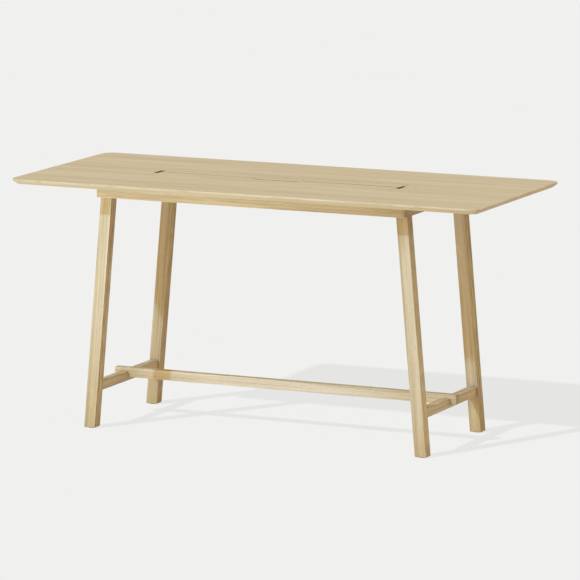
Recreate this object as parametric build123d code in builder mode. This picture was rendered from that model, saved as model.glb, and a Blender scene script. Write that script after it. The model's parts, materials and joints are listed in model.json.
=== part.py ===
from build123d import *

import math
import os

# A bar-height oak table with a cable hatch in its top.
# Frame: +X along the table, +Y to its back, +Z up. The origin is on the floor,
# under the middle of the tabletop. All sizes are in millimetres.

# ---------------------------------------------------------------- driving sizes
TABLE_HEIGHT = 1050
TOP_LENGTH = 2100
TOP_WIDTH = 900
TOP_THICKNESS = 22
TOP_CORNER_RADIUS = 50
TOP_ARRIS = 3
TOP_LIP = 7
TOP_BEVEL_REACH = 20
TOP_BEVEL_ARRIS = 2

APRON_LENGTH = 1386
APRON_SPREAD = 710
APRON_THICKNESS = 25
FRAME_CORNER_RADIUS = 13
APRON_HEIGHT = 46
BEARER_WIDTH = 70
WOOD_ARRIS = 2

LEG_SIZE = 50
LEG_FOOT_X = 751
LEG_TOP_X = 664
LEG_Y = 291
FOOT_CHAMFER = 1.5

GLIDE_HEIGHT = 3
GLIDE_RADIUS = 17
GLIDE_ARRIS = 1
GLIDE_NAIL_RADIUS = 1.5
GLIDE_NAIL_LENGTH = 14

RAIL_WIDTH = 35
RAIL_HEIGHT = 40
RAIL_BOTTOM = 154.5
STRETCHER_LENGTH = 1560
STRETCHER_BOTTOM = 169
TENON_LENGTH = 20
TENON_WIDTH = 22
TENON_HEIGHT = 28

HATCH_X = -25
SLOT_OFFSET = 550
SLOT_WIDTH = 16
SLOT_LENGTH = 72
SLOT_CORNER_RADIUS = 6
FLAP_REACH = 100
HINGE_GAP = 0.8
SEAM_GAP = 3
BACK_BEVEL = 3.5
FLAP_REST_GAP = 0.4
BLOCK_LENGTH = 210
BLOCK_WIDTH = 60
BLOCK_END_GAP = 1
BLOCK_ARRIS = 0.5

PIVOT_INSET = 4
LEAF_THICKNESS = 2
LEAF_LENGTH = 42
PIN_RADIUS = 1.5
PIN_CLEARANCE = 0.05
PIN_SEAT_CLEARANCE = 0.01

REST_THICKNESS = 5
REST_WIDTH = 30
REST_HALF_SPAN = 116
REST_OFFSET = 500
CENTRE_REST_WIDTH = 120
REST_CORNER_RADIUS = 3

TRAY_SHEET = 1.5
TRAY_DEPTH = 60
TRAY_HALF_LENGTH = 565
TRAY_HALF_WIDTH = 119.5
TRAY_FLANGE = 18

BRACKET_LEG = 25
BRACKET_SHEET = 2.5
BRACKET_WIDTH = 20

FIT = 0.1
BOLT_FIT = 0.5
PILOT_EXTRA = 1
DOWEL_RADIUS = 4
DOWEL_LENGTH = 32

# ---------------------------------------------------------------- worked-out places
TOP_UNDERSIDE = TABLE_HEIGHT - TOP_THICKNESS
APRON_BOTTOM = TOP_UNDERSIDE - APRON_HEIGHT
APRON_INNER_Y = APRON_SPREAD / 2 - APRON_THICKNESS
BEARER_X = APRON_LENGTH / 2 - BEARER_WIDTH / 2
LEG_SLOPE = (LEG_FOOT_X - LEG_TOP_X) / APRON_BOTTOM
RAIL_X = LEG_FOOT_X - LEG_SLOPE * (RAIL_BOTTOM + RAIL_HEIGHT / 2)
RAIL_TOP = RAIL_BOTTOM + RAIL_HEIGHT
STRETCHER_TOP = STRETCHER_BOTTOM + RAIL_HEIGHT
LAP_LEVEL = (RAIL_TOP + STRETCHER_BOTTOM) / 2
LEG_INNER_Y = LEG_Y - LEG_SIZE / 2

FLAP_HALF_LENGTH = SLOT_OFFSET - SLOT_WIDTH / 2
OPENING_HALF_LENGTH = FLAP_HALF_LENGTH + HINGE_GAP
OPENING_REACH = FLAP_REACH + HINGE_GAP
PIVOT_Y = FLAP_REACH - PIVOT_INSET
PIVOT_Z = TABLE_HEIGHT - PIVOT_INSET
FLAP_UNDERSIDE = TOP_UNDERSIDE + FLAP_REST_GAP
LEAF_SCREW_STEPS = (12, 30)

ENDS = {"left": -1, "right": 1}
SIDES = {"front": -1, "back": 1}


def save(builder, name):
    """Label one finished piece and write its STEP file."""
    builder.part.label = name
    export_step(builder.part, f"parts/{name}.step")


def aimed(points, direction, x_direction=None):
    """Planes at the points whose Z axis looks along one direction."""
    return [Plane(origin=point, x_dir=x_direction, z_dir=direction) for point in points]


def drill(planes, radius, depth):
    """Drill a blind hole along each plane's Z axis in the part being built."""
    with Locations(*planes):
        Cylinder(radius, depth, align=(Align.CENTER, Align.CENTER, Align.MIN), mode=Mode.SUBTRACT)


def countersink(planes, head_radius, shank_radius):
    """Cut a 45 degree seat for a flush screw head in the part being built."""
    with Locations(*planes):
        Cone(head_radius, shank_radius, head_radius - shank_radius,
             align=(Align.CENTER, Align.CENTER, Align.MIN), mode=Mode.SUBTRACT)


def cross_recess(planes, head_radius, depth):
    """Cut the cross-shaped driver recess in a row of screw heads."""
    arm = 1.2 * head_radius
    arm_width = 0.2 * head_radius
    with Locations(*planes):
        Box(arm, arm_width, depth, mode=Mode.SUBTRACT)
        Box(arm_width, arm, depth, mode=Mode.SUBTRACT)


def flush_screws(planes, head_radius, shank_radius, length):
    """Countersunk wood screws driven along each plane's Z axis, heads flush with it."""
    with BuildPart(*planes) as screws:
        Cylinder(shank_radius, length, align=(Align.CENTER, Align.CENTER, Align.MIN))
        Cone(head_radius, shank_radius, head_radius - shank_radius,
             align=(Align.CENTER, Align.CENTER, Align.MIN))
        cross_recess(planes, head_radius, head_radius / 2)
    return screws


def pan_screws(planes, shank_radius, length):
    """Pan-head wood screws whose heads stand on each plane's back."""
    with BuildPart(*planes) as screws:
        Cylinder(shank_radius, length, align=(Align.CENTER, Align.CENTER, Align.MIN))
        Cylinder(PAN_HEAD_RADIUS, PAN_HEAD_HEIGHT, align=(Align.CENTER, Align.CENTER, Align.MAX))
        head_tops = [plane.offset(-PAN_HEAD_HEIGHT) for plane in planes]
        cross_recess(head_tops, PAN_HEAD_RADIUS, PAN_HEAD_HEIGHT)
    return screws


def round_long_edges(builder, axis, radius):
    """Soften the arrises that run along one axis."""
    fillet(builder.edges().filter_by(axis).filter_by(lambda edge: edge.length > LEG_SIZE), radius)


# ---------------------------------------------------------------- screw and dowel places
PAN_HEAD_RADIUS = 3.9
PAN_HEAD_HEIGHT = 2.2

BRACKET_X = (-540, -180, 180, 540)
BRACKET_SCREW_RADIUS = 1.9
BRACKET_SCREW_LENGTH = 16
bracket_seats = [(x, side * (APRON_INNER_Y - BRACKET_LEG / 2 - BRACKET_SHEET / 2),
                  TOP_UNDERSIDE - BRACKET_SHEET)
                 for x in BRACKET_X for side in SIDES.values()]
bracket_up = aimed(bracket_seats, (0, 0, 1))
bracket_out = {side: aimed([(x, sign * (APRON_INNER_Y - BRACKET_SHEET),
                             TOP_UNDERSIDE - BRACKET_LEG / 2 - BRACKET_SHEET / 2)
                            for x in BRACKET_X], (0, sign, 0))
               for side, sign in SIDES.items()}

BEARER_SCREW_RADIUS = 2.5
BEARER_SCREW_HEAD = 5
BEARER_SCREW_SINK = 18
BEARER_SCREW_GRIP = 15
BEARER_SCREW_LENGTH = APRON_HEIGHT - BEARER_SCREW_SINK + BEARER_SCREW_GRIP
BEARER_SCREW_Y = (-200, 0, 200)
bearer_screw_planes = {end: aimed([(sign * BEARER_X, y, APRON_BOTTOM + BEARER_SCREW_SINK)
                                   for y in BEARER_SCREW_Y], (0, 0, 1))
                       for end, sign in ENDS.items()}

REST_SCREW_RADIUS = 1.9
REST_SCREW_HEAD = 3.9
REST_SCREW_GRIP = 14
REST_SCREW_LENGTH = REST_THICKNESS + REST_SCREW_GRIP
REST_SCREW_EDGE = 8
REST_SCREW_Y = 108.5
rest_places = {"left": (HATCH_X - REST_OFFSET, REST_WIDTH),
               "centre": (HATCH_X, CENTRE_REST_WIDTH),
               "right": (HATCH_X + REST_OFFSET, REST_WIDTH)}


def rest_screw_planes(name):
    """The four screws that hold one flap rest up to the top."""
    middle, width = rest_places[name]
    reach = width / 2 - REST_SCREW_EDGE
    return aimed([(middle + step * reach, side * REST_SCREW_Y, TOP_UNDERSIDE - REST_THICKNESS)
                  for step in (-1, 1) for side in (-1, 1)], (0, 0, 1))


all_rest_screws = [plane for name in rest_places for plane in rest_screw_planes(name)]

TRAY_SCREW_Y = TRAY_HALF_WIDTH + TRAY_FLANGE / 2
TRAY_SCREW_LENGTH = 14
TRAY_SCREW_PITCH = 340
TRAY_SCREW_X = [HATCH_X + step * TRAY_SCREW_PITCH for step in (-1.5, -0.5, 0.5, 1.5)]
tray_screw_planes = aimed([(x, side * TRAY_SCREW_Y, TOP_UNDERSIDE - TRAY_SHEET)
                           for x in TRAY_SCREW_X for side in (-1, 1)], (0, 0, 1))

BLOCK_SCREW_X = 42
BLOCK_SCREW_Y = 18
block_screw_planes = aimed([(HATCH_X + x * BLOCK_SCREW_X, y * BLOCK_SCREW_Y,
                             TOP_UNDERSIDE - REST_THICKNESS)
                            for x in (-1, 1) for y in (-1, 1)], (0, 0, 1))

LEAF_SCREW_RADIUS = 1.2
LEAF_SCREW_HEAD = 2.3
LEAF_SCREW_LENGTH = 16
LEAF_PILOT_RADIUS = LEAF_SCREW_RADIUS + FIT
LEAF_PILOT_DEPTH = LEAF_SCREW_LENGTH + PILOT_EXTRA


def leaf_screw_planes(end, side, on_flap):
    """The two screws of one hinge leaf, driven into the flap's end or into the top."""
    face = FLAP_HALF_LENGTH if on_flap else OPENING_HALF_LENGTH
    direction = -end if on_flap else end
    places = [(HATCH_X + end * face, side * (PIVOT_Y - step), PIVOT_Z) for step in LEAF_SCREW_STEPS]
    return aimed(places, (direction, 0, 0))


BEARER_DOWEL_STEP = 18
BEARER_DOWEL_IN_APRON = 13


def bearer_dowel_planes(end, side):
    """Two dowels from one bearer end into an apron, starting inside the apron."""
    start = APRON_INNER_Y + BEARER_DOWEL_IN_APRON
    return aimed([(end * BEARER_X + step * BEARER_DOWEL_STEP, side * start, APRON_BOTTOM + APRON_HEIGHT / 2)
                  for step in (-1, 1)], (0, -side, 0))


LEG_DOWEL_STEP = 14
LEG_BOLT_RADIUS = 4
LEG_BOLT_HEAD_RADIUS = 6.5
LEG_BOLT_HEAD_HEIGHT = 8
LEG_BOLT_LENGTH = 80
LEG_WASHER_THICKNESS = 1.6
LEG_WASHER_RADIUS = 8
LEG_BOLT_SINK = 11
INSERT_RADIUS = 6
INSERT_LENGTH = 25
INSERT_CLEARANCE = 2
HEX_SOCKET_RADIUS = 3.4
HEX_SOCKET_DEPTH = 5


def leg_bolt_seat(end, side, height):
    """A point on one leg bolt's upright axis, at the given height."""
    return (end * LEG_TOP_X, side * LEG_Y, height)


def leg_dowel_planes(end, side):
    """Two dowels across a leg's top, starting in the leg and pointing up."""
    places = [(end * (LEG_TOP_X + step * LEG_DOWEL_STEP), side * LEG_Y + step * LEG_DOWEL_STEP,
               APRON_BOTTOM - DOWEL_LENGTH / 2)
              for step in (-1, 1)]
    return aimed(places, (0, 0, 1))


corners = [(end, side) for end in ENDS.values() for side in SIDES.values()]
all_leaf_corners = [(end, side) for side in SIDES.values() for end in ENDS.values()]
leg_bolt_bottom = TOP_UNDERSIDE - LEG_BOLT_SINK - LEG_BOLT_LENGTH

STRETCHER_SCREW_RADIUS = 2.5
STRETCHER_SCREW_HEAD = 5
STRETCHER_SCREW_LENGTH = 45
stretcher_screw_planes = {end: aimed([(sign * RAIL_X, 0, RAIL_BOTTOM)], (0, 0, 1))
                          for end, sign in ENDS.items()}

os.makedirs("parts", exist_ok=True)

# ---------------------------------------------------------------- tabletop
with BuildPart() as tabletop:
    with BuildSketch(Plane.XY.offset(TOP_UNDERSIDE)):
        RectangleRounded(TOP_LENGTH, TOP_WIDTH, TOP_CORNER_RADIUS)
    extrude(amount=TOP_THICKNESS)
    fillet(tabletop.faces().sort_by(Axis.Z)[-1].edges(), TOP_ARRIS)
    # A wide bevel under the edge leaves a thin lip all round.
    underside = tabletop.faces().sort_by(Axis.Z)[0]
    chamfer(underside.edges(), TOP_BEVEL_REACH, TOP_THICKNESS - TOP_LIP, reference=underside)
    fillet(tabletop.faces().sort_by(Axis.Z)[0].edges(), TOP_BEVEL_ARRIS)
    # The hatch opening, and the cable slot at each of its ends.
    with BuildSketch(Plane.XY.offset(TABLE_HEIGHT)):
        with Locations((HATCH_X, 0)):
            Rectangle(2 * OPENING_HALF_LENGTH, 2 * OPENING_REACH)
        with Locations(*[(HATCH_X + end * FLAP_HALF_LENGTH, 0) for end in ENDS.values()]):
            RectangleRounded(2 * SLOT_WIDTH, SLOT_LENGTH, SLOT_CORNER_RADIUS)
    extrude(amount=-TOP_THICKNESS, mode=Mode.SUBTRACT)
    # Mortises for the fixed hinge leaves.
    for end, side in all_leaf_corners:
        leaf_face = HATCH_X + end * OPENING_HALF_LENGTH
        with BuildSketch(Plane.YZ.offset(leaf_face)):
            with Locations((side * PIVOT_Y, PIVOT_Z)):
                Circle(PIVOT_INSET + FIT)
            with Locations((side * (PIVOT_Y - LEAF_LENGTH / 2), PIVOT_Z)):
                Rectangle(LEAF_LENGTH + 2 * FIT, 2 * PIVOT_INSET + 2 * FIT)
        extrude(amount=end * (LEAF_THICKNESS + FIT), mode=Mode.SUBTRACT)
        drill(leaf_screw_planes(end, side, on_flap=False), LEAF_PILOT_RADIUS, LEAF_PILOT_DEPTH)
    # Pilot holes in the underside, each a little deeper than its screw.
    drill(bracket_up, BRACKET_SCREW_RADIUS + FIT, BRACKET_SHEET + BRACKET_SCREW_LENGTH)
    for planes in bearer_screw_planes.values():
        drill(planes, BEARER_SCREW_RADIUS + FIT, BEARER_SCREW_LENGTH + PILOT_EXTRA)
    drill(all_rest_screws, REST_SCREW_RADIUS + FIT, REST_SCREW_LENGTH + PILOT_EXTRA)
    drill(tray_screw_planes, REST_SCREW_RADIUS + FIT, TRAY_SCREW_LENGTH + PILOT_EXTRA)
save(tabletop, "tabletop")

# ---------------------------------------------------------------- hatch flaps
for side_name, side in SIDES.items():
    outer = side * FLAP_REACH
    seam = side * SEAM_GAP / 2
    seam_below = side * (SEAM_GAP / 2 + BACK_BEVEL)
    notch = side * (BLOCK_WIDTH / 2 + SEAM_GAP)
    notch_below = side * (BLOCK_WIDTH / 2 + SEAM_GAP + BACK_BEVEL)
    with BuildPart() as flap:
        # Section: rounded about the pivot at the hinge edge, back-bevelled at the seam.
        with BuildSketch(Plane.YZ.offset(HATCH_X - FLAP_HALF_LENGTH)) as flap_section:
            with BuildLine():
                Polyline((outer, FLAP_UNDERSIDE), (outer, TABLE_HEIGHT), (seam, TABLE_HEIGHT),
                         (seam_below, FLAP_UNDERSIDE), close=True)
            make_face()
            hinge_edge = flap_section.vertices().group_by(Axis.X)[0 if side < 0 else -1]
            fillet(hinge_edge.sort_by(Axis.Y)[-1], PIVOT_INSET)
            hinge_foot = flap_section.vertices().sort_by(Axis.Y)[:2]
            fillet(hinge_foot.sort_by(Axis.X)[0 if side < 0 else -1], TOP_ARRIS)
        extrude(amount=2 * FLAP_HALF_LENGTH)
        # The notch around the fixed centre block, back-bevelled like the seam.
        with BuildSketch(Plane.YZ.offset(HATCH_X - BLOCK_LENGTH / 2 - BLOCK_END_GAP)):
            with BuildLine():
                Polyline((0, FLAP_UNDERSIDE), (0, TABLE_HEIGHT), (notch, TABLE_HEIGHT),
                         (notch_below, FLAP_UNDERSIDE), close=True)
            make_face()
        extrude(amount=BLOCK_LENGTH + 2 * BLOCK_END_GAP, mode=Mode.SUBTRACT)
        # Mortises and pilot holes for the moving hinge leaves.
        for end in ENDS.values():
            with BuildSketch(Plane.YZ.offset(HATCH_X + end * FLAP_HALF_LENGTH)):
                with Locations((side * PIVOT_Y, PIVOT_Z)):
                    Circle(PIVOT_INSET + FIT)
                with Locations((side * (PIVOT_Y - LEAF_LENGTH / 2), PIVOT_Z)):
                    Rectangle(LEAF_LENGTH + 2 * FIT, 2 * PIVOT_INSET + 2 * FIT)
            extrude(amount=-end * (LEAF_THICKNESS + FIT), mode=Mode.SUBTRACT)
            drill(leaf_screw_planes(end, side, on_flap=True), LEAF_PILOT_RADIUS, LEAF_PILOT_DEPTH)
    save(flap, f"{side_name}_flap")

# ---------------------------------------------------------------- centre block and flap rests
with BuildPart() as centre_block:
    with BuildSketch(Plane.XY.offset(TOP_UNDERSIDE)):
        with Locations((HATCH_X, 0)):
            Rectangle(BLOCK_LENGTH, BLOCK_WIDTH)
    extrude(amount=TOP_THICKNESS)
    chamfer(centre_block.faces().sort_by(Axis.Z)[-1].edges(), BLOCK_ARRIS)
    drill(block_screw_planes, REST_SCREW_RADIUS + FIT, REST_SCREW_LENGTH + PILOT_EXTRA)
save(centre_block, "centre_block")

for name, (middle, width) in rest_places.items():
    with BuildPart() as flap_rest:
        with BuildSketch(Plane.XY.offset(TOP_UNDERSIDE - REST_THICKNESS)):
            with Locations((middle, 0)):
                RectangleRounded(width, 2 * REST_HALF_SPAN, REST_CORNER_RADIUS)
        extrude(amount=REST_THICKNESS)
        drill(rest_screw_planes(name), REST_SCREW_RADIUS + FIT, REST_THICKNESS)
        countersink(rest_screw_planes(name), REST_SCREW_HEAD + FIT, REST_SCREW_RADIUS + FIT)
        if name == "centre":
            drill(block_screw_planes, REST_SCREW_RADIUS + FIT, REST_THICKNESS)
            countersink(block_screw_planes, REST_SCREW_HEAD + FIT, REST_SCREW_RADIUS + FIT)
    save(flap_rest, f"{name}_flap_rest")

flap_rest_screws = flush_screws(all_rest_screws, REST_SCREW_HEAD, REST_SCREW_RADIUS, REST_SCREW_LENGTH)
save(flap_rest_screws, "flap_rest_screws")
block_screws = flush_screws(block_screw_planes, REST_SCREW_HEAD, REST_SCREW_RADIUS, REST_SCREW_LENGTH)
save(block_screws, "centre_block_screws")

# ---------------------------------------------------------------- hinges of the flaps
for side_name, side in SIDES.items():
    for end_name, end in ENDS.items():
        for on_flap in (True, False):
            face = FLAP_HALF_LENGTH if on_flap else OPENING_HALF_LENGTH
            direction = -end if on_flap else end
            hole = PIN_RADIUS + (PIN_CLEARANCE if on_flap else PIN_SEAT_CLEARANCE)
            with BuildPart() as leaf:
                with BuildSketch(Plane.YZ.offset(HATCH_X + end * face)):
                    with Locations((side * PIVOT_Y, PIVOT_Z)):
                        Circle(PIVOT_INSET)
                    with Locations((side * (PIVOT_Y - LEAF_LENGTH / 2), PIVOT_Z)):
                        Rectangle(LEAF_LENGTH, 2 * PIVOT_INSET)
                    with Locations((side * PIVOT_Y, PIVOT_Z)):
                        Circle(hole, mode=Mode.SUBTRACT)
                extrude(amount=direction * LEAF_THICKNESS)
                screw_planes = leaf_screw_planes(end, side, on_flap)
                drill(screw_planes, LEAF_PILOT_RADIUS, LEAF_THICKNESS)
                countersink(screw_planes, LEAF_SCREW_HEAD + FIT, LEAF_SCREW_RADIUS + FIT)
            owner = "flap" if on_flap else "top"
            save(leaf, f"{side_name}_{end_name}_hinge_{owner}_leaf")

# Each pin stands in its fixed leaf, and its collar spaces the two leaves.
pin_starts = [Plane(origin=(HATCH_X + end * (OPENING_HALF_LENGTH + LEAF_THICKNESS), side * PIVOT_Y, PIVOT_Z),
                    z_dir=(-end, 0, 0))
              for end, side in all_leaf_corners]
with BuildPart(*pin_starts) as hinge_pins:
    Cylinder(PIN_RADIUS, 2 * LEAF_THICKNESS + HINGE_GAP, align=(Align.CENTER, Align.CENTER, Align.MIN))
    with Locations((0, 0, LEAF_THICKNESS + FIT)):
        Cylinder(2 * PIN_RADIUS, HINGE_GAP - 2 * FIT, align=(Align.CENTER, Align.CENTER, Align.MIN))
save(hinge_pins, "hinge_pins")

for side_name, side in SIDES.items():
    planes = [plane for end in ENDS.values() for plane in leaf_screw_planes(end, side, on_flap=True)]
    screws = flush_screws(planes, LEAF_SCREW_HEAD, LEAF_SCREW_RADIUS, LEAF_SCREW_LENGTH)
    save(screws, f"{side_name}_flap_hinge_screws")
fixed_leaf_planes = [plane for end, side in all_leaf_corners
                     for plane in leaf_screw_planes(end, side, on_flap=False)]
top_hinge_screws = flush_screws(fixed_leaf_planes, LEAF_SCREW_HEAD, LEAF_SCREW_RADIUS, LEAF_SCREW_LENGTH)
save(top_hinge_screws, "top_hinge_screws")

# ---------------------------------------------------------------- cable tray under the hatch
tray_floor = TOP_UNDERSIDE - TRAY_DEPTH
tray_lip = TRAY_HALF_WIDTH + TRAY_FLANGE
with BuildPart() as cable_tray:
    with BuildSketch(Plane.YZ.offset(HATCH_X - TRAY_HALF_LENGTH)):
        # The outer trough and its two flanges, then the hollow taken out of it.
        with Locations((0, (TOP_UNDERSIDE + tray_floor) / 2)):
            Rectangle(2 * TRAY_HALF_WIDTH, TRAY_DEPTH)
        with Locations((0, TOP_UNDERSIDE - TRAY_SHEET / 2)):
            Rectangle(2 * tray_lip, TRAY_SHEET)
        with Locations((0, (TOP_UNDERSIDE + tray_floor + TRAY_SHEET) / 2)):
            Rectangle(2 * (TRAY_HALF_WIDTH - TRAY_SHEET), TRAY_DEPTH - TRAY_SHEET, mode=Mode.SUBTRACT)
    extrude(amount=2 * TRAY_HALF_LENGTH)
    drill(tray_screw_planes, REST_SCREW_RADIUS + FIT, TRAY_SHEET)
save(cable_tray, "cable_tray")

tray_screws = pan_screws(tray_screw_planes, REST_SCREW_RADIUS, TRAY_SCREW_LENGTH)
save(tray_screws, "cable_tray_screws")

# ---------------------------------------------------------------- frame under the top
for side_name, side in SIDES.items():
    with BuildPart() as apron:
        with BuildSketch(Plane.XY.offset(APRON_BOTTOM)) as outline:
            with Locations((0, side * (APRON_SPREAD - APRON_THICKNESS) / 2)):
                Rectangle(APRON_LENGTH, APRON_THICKNESS)
            outer_corners = outline.vertices().group_by(Axis.Y)[0 if side < 0 else -1]
            fillet(outer_corners, FRAME_CORNER_RADIUS)
        extrude(amount=APRON_HEIGHT)
        fillet(apron.faces().sort_by(Axis.Z)[0].edges().filter_by(Axis.X), WOOD_ARRIS)
        for end in ENDS.values():
            drill(bearer_dowel_planes(end, side), DOWEL_RADIUS + FIT, DOWEL_LENGTH)
        drill(bracket_out[side_name], BRACKET_SCREW_RADIUS + FIT, BRACKET_SHEET + BRACKET_SCREW_LENGTH)
    save(apron, f"{side_name}_apron")

for end_name, end in ENDS.items():
    with BuildPart() as bearer:
        with BuildSketch(Plane.XY.offset(APRON_BOTTOM)):
            with Locations((end * BEARER_X, 0)):
                Rectangle(BEARER_WIDTH, 2 * APRON_INNER_Y)
        extrude(amount=APRON_HEIGHT)
        for side in SIDES.values():
            drill(bearer_dowel_planes(end, side), DOWEL_RADIUS + FIT, DOWEL_LENGTH + PILOT_EXTRA)
            drill(leg_dowel_planes(end, side), DOWEL_RADIUS + FIT, DOWEL_LENGTH + PILOT_EXTRA)
            drill(aimed([leg_bolt_seat(end, side, APRON_BOTTOM)], (0, 0, 1)),
                  LEG_BOLT_RADIUS + BOLT_FIT, APRON_HEIGHT)
            drill(aimed([leg_bolt_seat(end, side, TOP_UNDERSIDE)], (0, 0, -1)),
                  LEG_WASHER_RADIUS + BOLT_FIT, LEG_BOLT_SINK + LEG_WASHER_THICKNESS)
        drill(bearer_screw_planes[end_name], BEARER_SCREW_RADIUS + FIT, BEARER_SCREW_LENGTH)
        drill(aimed([plane.origin for plane in bearer_screw_planes[end_name]], (0, 0, -1)),
              BEARER_SCREW_HEAD + BOLT_FIT, BEARER_SCREW_SINK)
        countersink(bearer_screw_planes[end_name], BEARER_SCREW_HEAD + FIT, BEARER_SCREW_RADIUS + FIT)
    save(bearer, f"{end_name}_bearer")

dowel_planes = [plane for end, side in corners for plane in bearer_dowel_planes(end, side)]
with BuildPart(*dowel_planes) as bearer_dowels:
    Cylinder(DOWEL_RADIUS, DOWEL_LENGTH, align=(Align.CENTER, Align.CENTER, Align.MIN))
save(bearer_dowels, "bearer_dowels")

bearer_screws = flush_screws([plane for planes in bearer_screw_planes.values() for plane in planes],
                             BEARER_SCREW_HEAD, BEARER_SCREW_RADIUS, BEARER_SCREW_LENGTH)
save(bearer_screws, "bearer_screws")

# Steel angles that hold the tabletop down on the aprons.
with BuildPart() as top_brackets:
    for x in BRACKET_X:
        for side in SIDES.values():
            with BuildSketch(Plane.YZ.offset(x - BRACKET_WIDTH / 2)):
                with Locations((side * (APRON_INNER_Y - BRACKET_LEG / 2), TOP_UNDERSIDE - BRACKET_SHEET / 2)):
                    Rectangle(BRACKET_LEG, BRACKET_SHEET)
                with Locations((side * (APRON_INNER_Y - BRACKET_SHEET / 2), TOP_UNDERSIDE - BRACKET_LEG / 2)):
                    Rectangle(BRACKET_SHEET, BRACKET_LEG)
            extrude(amount=BRACKET_WIDTH)
    drill(bracket_up, BRACKET_SCREW_RADIUS + FIT, BRACKET_SHEET)
    for planes in bracket_out.values():
        drill(planes, BRACKET_SCREW_RADIUS + FIT, BRACKET_SHEET)
save(top_brackets, "top_brackets")

bracket_screws = pan_screws(bracket_up + [plane for planes in bracket_out.values() for plane in planes],
                            BRACKET_SCREW_RADIUS, BRACKET_SCREW_LENGTH)
save(bracket_screws, "top_bracket_screws")

# ---------------------------------------------------------------- legs and their fixings
foot_x = LEG_FOOT_X - LEG_SLOPE * GLIDE_HEIGHT
for end_name, end in ENDS.items():
    for side_name, side in SIDES.items():
        with BuildPart() as leg:
            with BuildSketch(Plane.XZ.offset(-side * LEG_Y)):
                with BuildLine():
                    Polyline((end * foot_x - LEG_SIZE / 2, GLIDE_HEIGHT),
                             (end * foot_x + LEG_SIZE / 2, GLIDE_HEIGHT),
                             (end * LEG_TOP_X + LEG_SIZE / 2, APRON_BOTTOM),
                             (end * LEG_TOP_X - LEG_SIZE / 2, APRON_BOTTOM), close=True)
                make_face()
            extrude(amount=LEG_SIZE / 2, both=True)
            fillet(leg.edges().filter_by(lambda edge: edge.length > TABLE_HEIGHT / 2), WOOD_ARRIS)
            chamfer(leg.faces().sort_by(Axis.Z)[0].edges(), FOOT_CHAMFER)
            # Mortise for the cross rail's tenon.
            with Locations((end * RAIL_X, side * (LEG_INNER_Y + TENON_LENGTH / 2),
                            RAIL_BOTTOM + RAIL_HEIGHT / 2)):
                Box(TENON_WIDTH + 2 * FIT, TENON_LENGTH + PILOT_EXTRA, TENON_HEIGHT + 2 * FIT,
                    mode=Mode.SUBTRACT)
            drill(leg_dowel_planes(end, side), DOWEL_RADIUS + FIT, DOWEL_LENGTH)
            leg_top = aimed([leg_bolt_seat(end, side, APRON_BOTTOM)], (0, 0, -1))
            drill(leg_top, INSERT_RADIUS + FIT, INSERT_LENGTH + PILOT_EXTRA)
            drill(leg_top, LEG_BOLT_RADIUS + BOLT_FIT, APRON_BOTTOM - leg_bolt_bottom + INSERT_CLEARANCE)
            glide_seat = aimed([(end * foot_x, side * LEG_Y, GLIDE_HEIGHT)], (0, 0, 1))
            drill(glide_seat, GLIDE_NAIL_RADIUS + FIT, GLIDE_NAIL_LENGTH + PILOT_EXTRA)
        save(leg, f"{side_name}_{end_name}_leg")

bolt_planes = [Plane(origin=leg_bolt_seat(end, side, TOP_UNDERSIDE - LEG_BOLT_SINK)) for end, side in corners]
with BuildPart(*bolt_planes) as leg_bolts:
    Cylinder(LEG_BOLT_RADIUS, LEG_BOLT_LENGTH, align=(Align.CENTER, Align.CENTER, Align.MAX))
    Cylinder(LEG_BOLT_HEAD_RADIUS, LEG_BOLT_HEAD_HEIGHT, align=(Align.CENTER, Align.CENTER, Align.MIN))
    for plane in bolt_planes:
        with BuildSketch(plane.offset(LEG_BOLT_HEAD_HEIGHT)):
            RegularPolygon(HEX_SOCKET_RADIUS, 6)
        extrude(amount=-HEX_SOCKET_DEPTH, mode=Mode.SUBTRACT)
save(leg_bolts, "leg_bolts")

with BuildPart(*bolt_planes) as leg_washers:
    Cylinder(LEG_WASHER_RADIUS, LEG_WASHER_THICKNESS, align=(Align.CENTER, Align.CENTER, Align.MAX))
    Cylinder(LEG_BOLT_RADIUS + FIT, 3 * LEG_WASHER_THICKNESS, mode=Mode.SUBTRACT)
save(leg_washers, "leg_washers")

insert_planes = [Plane(origin=leg_bolt_seat(end, side, APRON_BOTTOM)) for end, side in corners]
with BuildPart(*insert_planes) as leg_inserts:
    Cylinder(INSERT_RADIUS, INSERT_LENGTH, align=(Align.CENTER, Align.CENTER, Align.MAX))
    Cylinder(LEG_BOLT_RADIUS + FIT, 3 * INSERT_LENGTH, mode=Mode.SUBTRACT)
save(leg_inserts, "leg_insert_nuts")

with BuildPart(*[plane for end, side in corners for plane in leg_dowel_planes(end, side)]) as leg_dowels:
    Cylinder(DOWEL_RADIUS, DOWEL_LENGTH, align=(Align.CENTER, Align.CENTER, Align.MIN))
save(leg_dowels, "leg_dowels")

# A nail-in glide under each foot.
for end_name, end in ENDS.items():
    for side_name, side in SIDES.items():
        with BuildPart() as glide:
            with BuildSketch(Plane.XY):
                with Locations((end * foot_x, side * LEG_Y)):
                    Circle(GLIDE_RADIUS)
            extrude(amount=GLIDE_HEIGHT)
            fillet(glide.faces().sort_by(Axis.Z)[0].edges(), GLIDE_ARRIS)
            with BuildSketch(Plane.XY.offset(GLIDE_HEIGHT)):
                with Locations((end * foot_x, side * LEG_Y)):
                    Circle(GLIDE_NAIL_RADIUS)
            extrude(amount=GLIDE_NAIL_LENGTH)
        save(glide, f"{side_name}_{end_name}_glide")

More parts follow.
